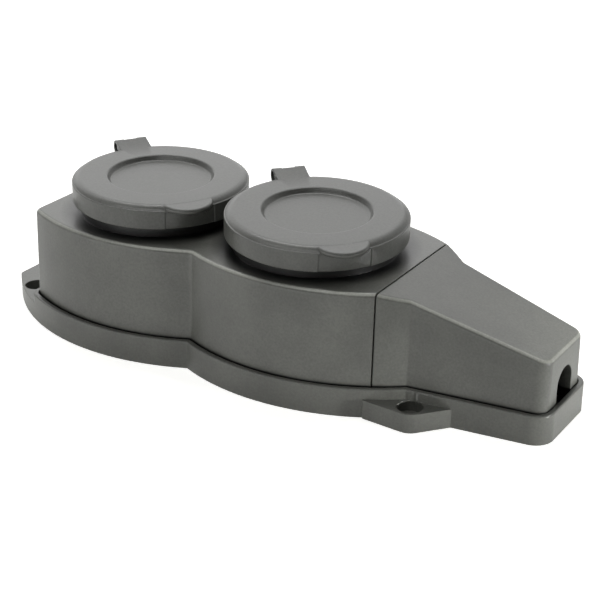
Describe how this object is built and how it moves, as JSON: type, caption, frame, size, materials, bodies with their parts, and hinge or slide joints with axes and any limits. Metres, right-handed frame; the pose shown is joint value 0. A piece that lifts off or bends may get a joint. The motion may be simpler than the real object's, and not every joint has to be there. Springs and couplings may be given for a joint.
{
  "type": "double weatherproof socket",
  "caption": "Surface-mounted weatherproof socket: lobed rubber housing, hinged round lids over plug recesses, sloping nose with a cable slot, flanged screw-down base.",
  "frame": {"origin": "middle of the overall length and width, on the back face of the base", "axes": "+X along the length towards the cable slot, +Z out of the back face towards the lids"},
  "size_m": [0.2024, 0.0718, 0.0539],
  "materials": {
    "shell": "matte moulded",
    "lid": "matte moulded",
    "seal": "matte",
    "insert": "matte",
    "brass": "stamped",
    "steel": "zinc plated"
  },
  "bodies": {
    "body": {"base": "shell", "housing": "shell", "nose_cover": "shell", "hinge_pin_front": "steel", "hinge_pin_rear": "steel", "insert_front": "insert", "insert_rear": "insert", "earth_clip_front": "brass", "earth_clip_rear": "brass", "live_rail": "brass", "neutral_rail": "brass", "earth_rail": "brass", "terminal_block": "insert", "terminal_clamps": "steel", "terminal_screws": "steel", "cable_clamp": "insert", "clamp_screws": "steel", "housing_screws": "steel", "nose_screws": "steel"},
    "lid_front_body": {"lid_front": "lid", "lid_seal_front": "seal"},
    "lid_rear_body": {"lid_rear": "lid", "lid_seal_rear": "seal"}
  },
  "joints": [
    {"name": "lid_front_hinge", "type": "hinge", "parent": "body", "child": "lid_front_body", "pos_m": [-0.00924, 0.02065, 0.05128], "axis": [-0.6626, -0.749, 0], "range_deg": [0, 110]},
    {"name": "lid_rear_hinge", "type": "hinge", "parent": "body", "child": "lid_rear_body", "pos_m": [-0.07171, 0.01774, 0.05062], "axis": [-0.5664, -0.8241, 0], "range_deg": [0, 110]}
  ]
}
